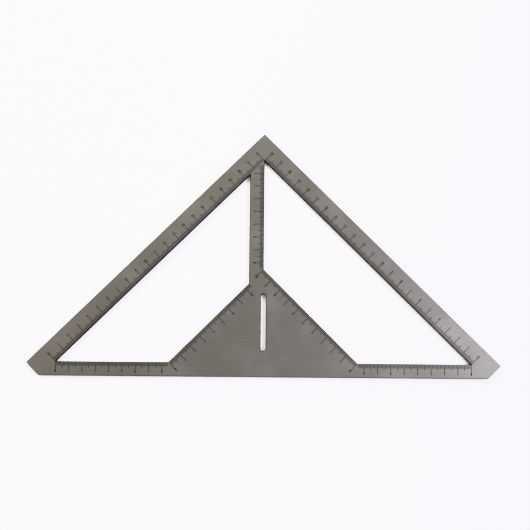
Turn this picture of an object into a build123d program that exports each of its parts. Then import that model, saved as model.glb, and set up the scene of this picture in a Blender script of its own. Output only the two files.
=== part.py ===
from build123d import *
import math
import os

# A flat mitre and layout square: one laser-cut steel plate with seven millimetre scales
# marked on its upper face.  The outline is a right-angled isosceles triangle with a narrow
# base strip, two sloping arms, a centre bar whose right edge is the exact centre line, and a
# small solid triangle with a slot.  The plate lies in XY with the base along X, the apex
# towards +Y and the marked face towards +Z.  The origin is the middle of the underside's box.

# ---- Driving dimensions, millimetres ----
SCALE_LENGTH = 220.0       # graduated inner edge of each sloping arm
ARM_WIDTH = 15.1
BASE_WIDTH = 10.7
BAR_WIDTH = 11.1
SMALL_EDGE = 100.0         # sloping edge of the small solid triangle
TIP_RISE = 9.8             # height of each arm's outer tip above the base edge
PLATE_THICKNESS = 3.5
BASE_CORNER_RADIUS = 1.5
EDGE_BREAK = 0.45          # chamfer along every cut edge, upper and lower

SLOT_WIDTH = 3.8
SLOT_LENGTH = 43.0
SLOT_RISE = 19.5           # slot's lower end above the base edge

MARK_THICKNESS = 0.04      # the darkened skin of the laser marks
TICK_LENGTHS = {10: 5.4, 5: 3.9, 1: 2.6}
TICK_WIDTHS = {10: 0.48, 5: 0.46, 1: 0.44}
TICK_SETBACK = 0.5         # from the cut edge to the start of a tick
NUMERAL_GAP = 0.3          # from a ten-millimetre tick to its numeral
NUMERAL_HEIGHT = 2.8
NUMERAL_SLIMNESS = 0.36    # width of one digit over its height
NUMERAL_STROKE = 0.42
NUMERAL_BEND = 0.225       # radius of a digit's bends, along the middle of the stroke
NUMERAL_SPACING = 0.12

# The scales on the base strip and the centre bar are squeezed into less width
STRIP_TEN_TICK = 4.8
STRIP_NUMERAL_HEIGHT = 2.5
BASE_TICK_SETBACK = 0.7

# ---- Derived places ----
HALF_SQUARE = math.sqrt(0.5)
OPEN_LEG = SCALE_LENGTH * HALF_SQUARE            # half-width, and height, of the open triangle
SMALL_LEG = SMALL_EDGE * HALF_SQUARE
HEIGHT = BASE_WIDTH + OPEN_LEG + ARM_WIDTH / HALF_SQUARE
BASE_EDGE_Y = -HEIGHT / 2
STRIP_TOP_Y = BASE_EDGE_Y + BASE_WIDTH
INNER_APEX_Y = STRIP_TOP_Y + OPEN_LEG
SMALL_APEX_Y = STRIP_TOP_Y + SMALL_LEG
TIP_X = HEIGHT - TIP_RISE
BASE_CORNER_X = TIP_X - TIP_RISE

# Strokes of each digit on a grid one unit wide and two high: (is it a loop, its points)
DIGIT_STROKES = {
    "0": [(True, [(0, 0), (1, 0), (1, 2), (0, 2)])],
    "1": [(False, [(0.6, 0), (0.6, 2)]), (False, [(0.1, 1.6), (0.6, 2)])],
    "2": [(False, [(0, 1.5), (0, 2), (1, 2), (1, 1.2), (0, 0), (1, 0)])],
    "3": [(False, [(0, 2), (1, 2), (1, 1.05), (0.3, 1.05)]),
          (False, [(0.3, 1.05), (1, 1.05), (1, 0), (0, 0)])],
    "4": [(False, [(0.75, 0), (0.75, 2)]), (False, [(0.75, 2), (0, 0.6), (1, 0.6)])],
    "5": [(False, [(1, 2), (0, 2), (0, 1.15), (1, 1.15), (1, 0), (0, 0)])],
    "6": [(True, [(0, 0), (1, 0), (1, 1.1), (0, 1.1)]),
          (False, [(0, 0.6), (0, 2), (0.9, 2)])],
    "7": [(False, [(0, 2), (1, 2), (0.35, 0)])],
    "8": [(True, [(0, 0), (1, 0), (1, 1.05), (0, 1.05)]),
          (True, [(0, 1.05), (1, 1.05), (1, 2), (0, 2)])],
    "9": [(True, [(0, 0.9), (1, 0.9), (1, 2), (0, 2)]),
          (False, [(1, 1.4), (1, 0), (0.1, 0)])],
}


def left_window():
    """Opening between the left arm, the centre bar and the small triangle."""
    return make_face(Polyline(
        (-OPEN_LEG, STRIP_TOP_Y), (-BAR_WIDTH, INNER_APEX_Y - BAR_WIDTH),
        (-BAR_WIDTH, SMALL_APEX_Y - BAR_WIDTH), (-SMALL_LEG, STRIP_TOP_Y), close=True))


def right_window():
    """Opening on the right, which reaches the centre line."""
    return make_face(Polyline(
        (OPEN_LEG, STRIP_TOP_Y), (0, INNER_APEX_Y),
        (0, SMALL_APEX_Y), (SMALL_LEG, STRIP_TOP_Y), close=True))


def slot():
    """Round-ended slot on the centre line."""
    middle_y = BASE_EDGE_Y + SLOT_RISE + SLOT_LENGTH / 2
    return Pos(0, middle_y) * SlotOverall(SLOT_LENGTH, SLOT_WIDTH, rotation=90)


def face_plate():
    """The whole plate, cut from one sheet."""
    outline = make_face(Polyline(
        (0, BASE_EDGE_Y + HEIGHT), (-TIP_X, BASE_EDGE_Y + TIP_RISE),
        (-BASE_CORNER_X, BASE_EDGE_Y), (BASE_CORNER_X, BASE_EDGE_Y),
        (TIP_X, BASE_EDGE_Y + TIP_RISE), close=True))
    base_corners = outline.vertices().sort_by(Axis.Y)[:2]
    outline = fillet(base_corners, BASE_CORNER_RADIUS)
    plate = extrude(outline - left_window() - right_window() - slot(), PLATE_THICKNESS)
    faces = plate.faces().sort_by(Axis.Z)
    return chamfer(faces[0].edges() + faces[-1].edges(), EDGE_BREAK)


def digit(character, height):
    """Outline of one digit, its box centred on the origin."""
    pen_width = NUMERAL_SLIMNESS * height - NUMERAL_STROKE
    pen_height = height - NUMERAL_STROKE
    shape = Sketch()
    for is_loop, grid in DIGIT_STROKES[character]:
        points = [((x - 0.5) * pen_width, (y / 2 - 0.5) * pen_height) for x, y in grid]
        if len(points) == 2:
            path = Line(*points)
        else:
            path = FilletPolyline(*points, radius=NUMERAL_BEND, close=is_loop)
        shape += trace(path, NUMERAL_STROKE)
    return shape


def numeral(value, height):
    """Solids of a whole number, centred on the origin."""
    characters = str(value)
    pitch = NUMERAL_SLIMNESS * height + NUMERAL_SPACING
    start = -pitch * (len(characters) - 1) / 2
    return [solid
            for index, character in enumerate(characters)
            for solid in extrude(Pos(start + index * pitch) * digit(character, height),
                                 MARK_THICKNESS).solids()]


class RuledEdge:
    """One scale, drawn in a frame on the upper face with its X axis along the cut edge.

    zero is the scale's zero point, angle the direction of the frame's X axis in degrees,
    count_side is +1 where values grow along +X, and metal_side is +1 where the metal lies on
    the +Y side of the edge.
    """

    def __init__(self, name, zero, angle, count_side, metal_side, first, last,
                 setback=TICK_SETBACK, ten_tick=TICK_LENGTHS[10], numeral_height=NUMERAL_HEIGHT):
        direction = (math.cos(math.radians(angle)), math.sin(math.radians(angle)), 0)
        self.name = name
        self.frame = Plane(origin=(*zero, PLATE_THICKNESS), x_dir=direction, z_dir=(0, 0, 1))
        self.count_side = count_side
        self.metal_side = metal_side
        self.values = range(first, last + 1)
        self.setback = setback
        self.tick_lengths = {**TICK_LENGTHS, 10: ten_tick}
        self.numeral_height = numeral_height

    def graduations(self):
        """One thin bar for each millimetre, longer at fives and tens."""
        bars = []
        for value in self.values:
            step = next(size for size in (10, 5, 1) if value % size == 0)
            length = self.tick_lengths[step]
            place = Pos(self.count_side * value,
                        self.metal_side * (self.setback + length / 2), MARK_THICKNESS / 2)
            bars.append(self.frame * place * Box(TICK_WIDTHS[step], length, MARK_THICKNESS))
        return Compound(children=bars)

    def numerals(self):
        """A number of centimetres beyond each ten-millimetre tick."""
        offset = self.setback + self.tick_lengths[10] + NUMERAL_GAP + self.numeral_height / 2
        solids = []
        for value in self.values:
            if value % 10 == 0:
                place = Pos(self.count_side * value, self.metal_side * offset)
                solids += [self.frame * place * solid
                           for solid in numeral(value // 10, self.numeral_height)]
        return Compound(children=solids)


STRIP_MARKS = {"ten_tick": STRIP_TEN_TICK, "numeral_height": STRIP_NUMERAL_HEIGHT}
BASE_MARKS = {**STRIP_MARKS, "setback": BASE_TICK_SETBACK}

RULED_EDGES = [
    RuledEdge("left_arm", (-OPEN_LEG, STRIP_TOP_Y), 45, 1, 1, 0, 220),
    RuledEdge("right_arm", (OPEN_LEG, STRIP_TOP_Y), -45, -1, 1, 0, 220),
    RuledEdge("left_base", (-OPEN_LEG, STRIP_TOP_Y), 0, 1, -1, 0, 84, **BASE_MARKS),
    RuledEdge("right_base", (OPEN_LEG, STRIP_TOP_Y), 0, -1, -1, 0, 84, **BASE_MARKS),
    RuledEdge("left_slope", (-SMALL_LEG, STRIP_TOP_Y), 45, 1, -1, 0, 84),
    RuledEdge("right_slope", (SMALL_LEG, STRIP_TOP_Y), -45, -1, -1, 0, 100),
    RuledEdge("centre_bar", (0, INNER_APEX_Y), -90, 1, -1, 4, 84, **STRIP_MARKS),
]


os.makedirs("parts", exist_ok=True)
export_step(face_plate(), "parts/face_plate.step")
for edge in RULED_EDGES:
    export_step(edge.graduations(), f"parts/{edge.name}_graduations.step")
    export_step(edge.numerals(), f"parts/{edge.name}_numerals.step")
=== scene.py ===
import math

import bpy
from mathutils import Euler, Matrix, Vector


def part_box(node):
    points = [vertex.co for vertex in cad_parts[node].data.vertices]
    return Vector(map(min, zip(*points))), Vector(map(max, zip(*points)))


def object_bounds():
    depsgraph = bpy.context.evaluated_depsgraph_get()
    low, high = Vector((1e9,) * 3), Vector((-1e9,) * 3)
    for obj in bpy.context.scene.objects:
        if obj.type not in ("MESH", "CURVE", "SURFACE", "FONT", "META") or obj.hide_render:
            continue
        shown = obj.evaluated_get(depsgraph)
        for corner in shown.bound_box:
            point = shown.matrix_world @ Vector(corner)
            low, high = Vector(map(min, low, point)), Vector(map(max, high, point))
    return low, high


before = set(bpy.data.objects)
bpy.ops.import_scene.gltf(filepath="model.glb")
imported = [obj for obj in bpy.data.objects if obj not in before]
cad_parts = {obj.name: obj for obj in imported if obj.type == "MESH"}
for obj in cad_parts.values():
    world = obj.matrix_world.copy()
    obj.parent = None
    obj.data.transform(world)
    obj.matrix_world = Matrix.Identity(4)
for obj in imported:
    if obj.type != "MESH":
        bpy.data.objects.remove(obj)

# The CAD model already holds every real shape: one laser-cut plate and the marks on it.  This
# script gives them their surfaces, and adds the table, the lights and the camera.

CAD_LOW, CAD_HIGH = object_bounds()
PLATE_LOW, PLATE_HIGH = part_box("face_plate")
FACE_Z = PLATE_HIGH.z
MILLIMETRE = 0.001

# The outer tips are the plate's widest points, as far in from the apex as the tips are low,
# because the outline's apex is a right angle on the centre line
TIP_X = PLATE_HIGH.x
TIP_Y = PLATE_HIGH.y - TIP_X

# ---- Looks: linear colours, roughness and bump depth ----
STEEL_TONES = (0.168, 0.159, 0.143, 1), (0.178, 0.169, 0.153, 1)
STEEL_STREAK = (0.22, 0.21, 0.195, 1)
STEEL_GRAIN = (0.12, 0.115, 0.105, 1)
STEEL_SCRATCH = (0.28, 0.27, 0.25, 1)
# Near black for cut walls and broken edges (laser oxide plus painted shade, as the walls sit in
# shadow) and for the dark tip marks
OXIDE_AND_SHADE_TONES = (0.004, 0.0038, 0.0035, 1), (0.018, 0.0165, 0.015, 1)
MARK_TONES = (0.007, 0.0065, 0.006, 1), (0.014, 0.013, 0.012, 1)
MARK_FLECK = (0.035, 0.033, 0.031, 1)
TABLE_TONES = (0.9, 0.895, 0.875, 1), (0.915, 0.91, 0.89, 1)
ROOM_LIGHT = (0.93, 0.9, 0.86, 1)
SATIN_ROUGHNESS = 0.3
BLACKENED_ROUGHNESS = 0.85
BUMP_DEPTH = 0.02 * MILLIMETRE

# How much of its normal lies along Z: above the first a surface is face, below the second cut
FLAT_NORMAL = 0.98
CUT_NORMAL = 0.9

# ---- Dark marks at the tips: where they fade out, inwards from the clipped end and down the tip ----
TIP_MARK_RAGGEDNESS = 0.3 * MILLIMETRE
TIP_MARK_REACH_IN = 0.9 * MILLIMETRE, 0.4 * MILLIMETRE
TIP_MARK_REACH_DOWN = 2.6 * MILLIMETRE, 1.8 * MILLIMETRE

# ---- Table, lights and camera, in metres, watts and degrees ----
TABLE_HALF = 3.0
TABLE_GAP = 0.02 * MILLIMETRE
SOFTBOX_SIZE = 0.9
SOFTBOXES = {                # place, power, colour
    "right_window": ((1.166, 0.102, 1.091), 52.0, (0.82, 0.83, 1.0)),
    "top_window": ((-0.3, 1.25, 0.985), 20.0, (1.0, 0.99, 0.97)),
    "left_window": ((-1.232, 0.448, 0.918), 16.0, (1.0, 0.97, 0.91)),
}
FOCAL_LENGTH = 54.47         # millimetres
CAMERA_X = 0.00669           # from the centre line
CAMERA_BELOW_BASE = 0.00014  # from the base edge, away from the apex
CAMERA_HEIGHT = 0.60463      # above the marked face
CAMERA_TILT = 7.982
CAMERA_SWING = 0.536
CAMERA_ROLL = 0.428


# ---- Node helpers ----

class Nodes:
    """A material's node tree, with short ways to add and join nodes."""

    def __init__(self, name):
        self.material = bpy.data.materials.new(name)
        self.material.use_nodes = True
        self.tree = self.material.node_tree
        self.shader = next(n for n in self.tree.nodes if n.type == "BSDF_PRINCIPLED")
        self.place = self.add("ShaderNodeTexCoord").outputs["Object"]

    def add(self, kind, **settings):
        node = self.tree.nodes.new(kind)
        for name, value in settings.items():
            setattr(node, name, value)
        return node

    def join(self, source, target):
        """Links an output to an input, or sets the input if source is a plain value."""
        if isinstance(source, bpy.types.NodeSocket):
            self.tree.links.new(source, target)
        else:
            target.default_value = source

    def math(self, operation, first, second=0.0, clamp=False):
        node = self.add("ShaderNodeMath", operation=operation, use_clamp=clamp)
        self.join(first, node.inputs[0])
        self.join(second, node.inputs[1])
        return node.outputs[0]

    def spread(self, value, low, high, to_low=0.0, to_high=1.0):
        """Maps low..high to to_low..to_high, clamped and smooth."""
        node = self.add("ShaderNodeMapRange", interpolation_type="SMOOTHSTEP")
        self.join(value, node.inputs["Value"])
        for socket, number in (("From Min", low), ("From Max", high),
                               ("To Min", to_low), ("To Max", to_high)):
            node.inputs[socket].default_value = number
        return node.outputs["Result"]

    def mix(self, factor, first, second):
        """Mixes two colours."""
        node = self.add("ShaderNodeMix", data_type="RGBA")
        self.join(factor, node.inputs["Factor"])
        self.join(first, node.inputs["A"])
        self.join(second, node.inputs["B"])
        return node.outputs["Result"]

    def blend(self, factor, first, second):
        """Mixes two numbers."""
        node = self.add("ShaderNodeMix", data_type="FLOAT")
        self.join(factor, node.inputs["Factor"])
        self.join(first, node.inputs["A"])
        self.join(second, node.inputs["B"])
        return node.outputs["Result"]

    def noise(self, per_metre, detail=2.0, roughness=0.5, offset=(0, 0, 0)):
        """Noise with its own frequency along each axis, in waves per metre."""
        mapping = self.add("ShaderNodeMapping")
        self.join(self.place, mapping.inputs["Vector"])
        mapping.inputs["Scale"].default_value = per_metre
        mapping.inputs["Location"].default_value = offset
        node = self.add("ShaderNodeTexNoise")
        self.join(mapping.outputs["Vector"], node.inputs["Vector"])
        node.inputs["Scale"].default_value = 1.0
        node.inputs["Detail"].default_value = detail
        node.inputs["Roughness"].default_value = roughness
        return node.outputs["Fac"]

    def bump(self, height, distance, strength=1.0):
        node = self.add("ShaderNodeBump")
        node.inputs["Distance"].default_value = distance
        node.inputs["Strength"].default_value = strength
        self.join(height, node.inputs["Height"])
        self.join(node.outputs["Normal"], self.shader.inputs["Normal"])


def shade(node_name, material):
    """Gives a CAD node one material."""
    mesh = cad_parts[node_name].data
    mesh.materials.clear()
    mesh.materials.append(material)


# ---- Materials ----

def plate_steel():
    """Dark satin-brushed stainless sheet; its cut walls and broken edges are near black: laser
    oxide, darkened further with painted shade because the walls sit in shadow.
    """
    n = Nodes("plate_steel")
    tone = n.noise((22, 30, 22), detail=3)
    streaks = n.noise((9, 1100, 9), detail=3, roughness=0.6)
    grain = n.noise((70, 5200, 70), detail=3, roughness=0.7)
    scratches = n.spread(n.noise((35, 2600, 35), detail=1, offset=(3, 7, 0)), 0.70, 0.78)
    smudge = n.spread(n.noise((38, 38, 38), detail=4, roughness=0.6, offset=(11, 2, 5)), 0.45, 0.7)

    face = n.mix(n.spread(tone, 0.3, 0.7), *STEEL_TONES)
    face = n.mix(n.math("MULTIPLY", n.spread(streaks, 0.35, 0.7), 0.12), face, STEEL_STREAK)
    face = n.mix(n.math("MULTIPLY", grain, 0.2), face, STEEL_GRAIN)
    face = n.mix(n.math("MULTIPLY", scratches, 0.2), face, STEEL_SCRATCH)

    normal = n.add("ShaderNodeSeparateXYZ")
    n.join(n.add("ShaderNodeNewGeometry").outputs["True Normal"], normal.inputs[0])
    # Cut walls and broken edges are coloured near black: partly laser oxide, partly painted shade
    # standing in for walls in shadow.
    is_cut = n.spread(n.math("ABSOLUTE", normal.outputs["Z"]), FLAT_NORMAL, CUT_NORMAL)
    is_blackened = n.math("MAXIMUM", is_cut, tip_dark_marks(n, smudge))

    stripes = n.noise((2400, 2400, 160), detail=2, roughness=0.6)
    oxide_and_shade = n.mix(stripes, *OXIDE_AND_SHADE_TONES)
    n.join(n.mix(is_blackened, face, oxide_and_shade), n.shader.inputs["Base Color"])

    satin = n.math("ADD", n.math("MULTIPLY", grain, 0.12), SATIN_ROUGHNESS)
    satin = n.math("ADD", satin, n.math("MULTIPLY", smudge, 0.06))
    n.join(n.blend(is_blackened, satin, BLACKENED_ROUGHNESS), n.shader.inputs["Roughness"])
    n.join(n.spread(is_blackened, 0.0, 1.0, 1.0, 0.0), n.shader.inputs["Metallic"])
    n.shader.inputs["Specular IOR Level"].default_value = 0.1
    n.bump(n.blend(is_cut, grain, stripes), BUMP_DEPTH, 0.35)
    return n.material


def tip_dark_marks(n, smudge):
    """A small dark mark along the clipped end of each outer tip."""
    axes = n.add("ShaderNodeSeparateXYZ")
    n.join(n.place, axes.inputs[0])
    inboard = n.math("SUBTRACT", TIP_X, n.math("ABSOLUTE", axes.outputs["X"]))
    below = n.math("SUBTRACT", TIP_Y, axes.outputs["Y"])
    from_end = n.math("SUBTRACT", inboard, below)
    ragged = n.math("MULTIPLY", smudge, TIP_MARK_RAGGEDNESS)
    near_end = n.spread(n.math("ADD", from_end, ragged), *TIP_MARK_REACH_IN)
    near_tip = n.spread(n.math("ADD", below, ragged), *TIP_MARK_REACH_DOWN)
    return n.math("MULTIPLY", near_end, near_tip)


def laser_mark():
    """Matt black oxide left by the marking laser, a little uneven along each stroke."""
    n = Nodes("laser_mark")
    fleck = n.noise((1500, 1500, 1500), detail=3, roughness=0.7)
    fade = n.noise((60, 60, 60), detail=2)
    dark = n.mix(n.spread(fade, 0.35, 0.7), *MARK_TONES)
    speckled = n.mix(n.spread(fleck, 0.55, 0.8), dark, MARK_FLECK)
    n.join(speckled, n.shader.inputs["Base Color"])
    n.join(n.spread(fleck, 0.2, 0.8, 0.62, 0.8), n.shader.inputs["Roughness"])
    n.shader.inputs["Specular IOR Level"].default_value = 0.15
    n.bump(fleck, BUMP_DEPTH, 0.4)
    return n.material


def table_top():
    """Plain off-white table."""
    n = Nodes("table_top")
    paper = n.noise((400, 400, 400), detail=3)
    n.join(n.mix(paper, *TABLE_TONES), n.shader.inputs["Base Color"])
    n.shader.inputs["Roughness"].default_value = 0.85
    n.shader.inputs["Specular IOR Level"].default_value = 0.2
    return n.material


STEEL = plate_steel()
MARK = laser_mark()
for node_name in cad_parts:
    shade(node_name, STEEL if node_name == "face_plate" else MARK)


# ---- Table, lights and camera ----

def table():
    """A wide flat table just under the plate."""
    mesh = bpy.data.meshes.new("table")
    corners = [(x * TABLE_HALF, y * TABLE_HALF, 0) for x, y in ((-1, -1), (1, -1), (1, 1), (-1, 1))]
    mesh.from_pydata(corners, [], [(0, 1, 2, 3)])
    mesh.materials.append(table_top())
    top = bpy.data.objects.new("table", mesh)
    top.location.z = CAD_LOW.z - TABLE_GAP
    bpy.context.scene.collection.objects.link(top)


def soft_light(name, place, power, colour):
    """A square studio softbox aimed at the middle of the plate."""
    data = bpy.data.lights.new(name, "AREA")
    data.shape = "SQUARE"
    data.size = SOFTBOX_SIZE
    data.energy = power
    data.color = colour
    light = bpy.data.objects.new(name, data)
    light.location = place
    light.rotation_euler = (-Vector(place)).to_track_quat("-Z", "Y").to_euler()
    bpy.context.scene.collection.objects.link(light)


def surroundings():
    """Even, slightly warm light from all round."""
    world = bpy.data.worlds.new("room")
    world.use_nodes = True
    world.node_tree.nodes["Background"].inputs["Color"].default_value = ROOM_LIGHT
    bpy.context.scene.world = world


def camera():
    """Hand-held view from almost straight above, tilted towards the apex."""
    data = bpy.data.cameras.new("camera")
    data.lens = FOCAL_LENGTH
    view = bpy.data.objects.new("camera", data)
    view.location = (CAMERA_X, PLATE_LOW.y - CAMERA_BELOW_BASE, FACE_Z + CAMERA_HEIGHT)
    angles = [math.radians(angle) for angle in (CAMERA_TILT, CAMERA_SWING, CAMERA_ROLL)]
    view.rotation_mode = "ZYX"
    view.rotation_euler = Euler(angles, "ZYX")
    bpy.context.scene.collection.objects.link(view)
    bpy.context.scene.camera = view


table()
surroundings()
for light_name, (place, power, colour) in SOFTBOXES.items():
    soft_light(light_name, place, power, colour)
camera()
bpy.context.scene.view_settings.view_transform = "Khronos PBR Neutral"
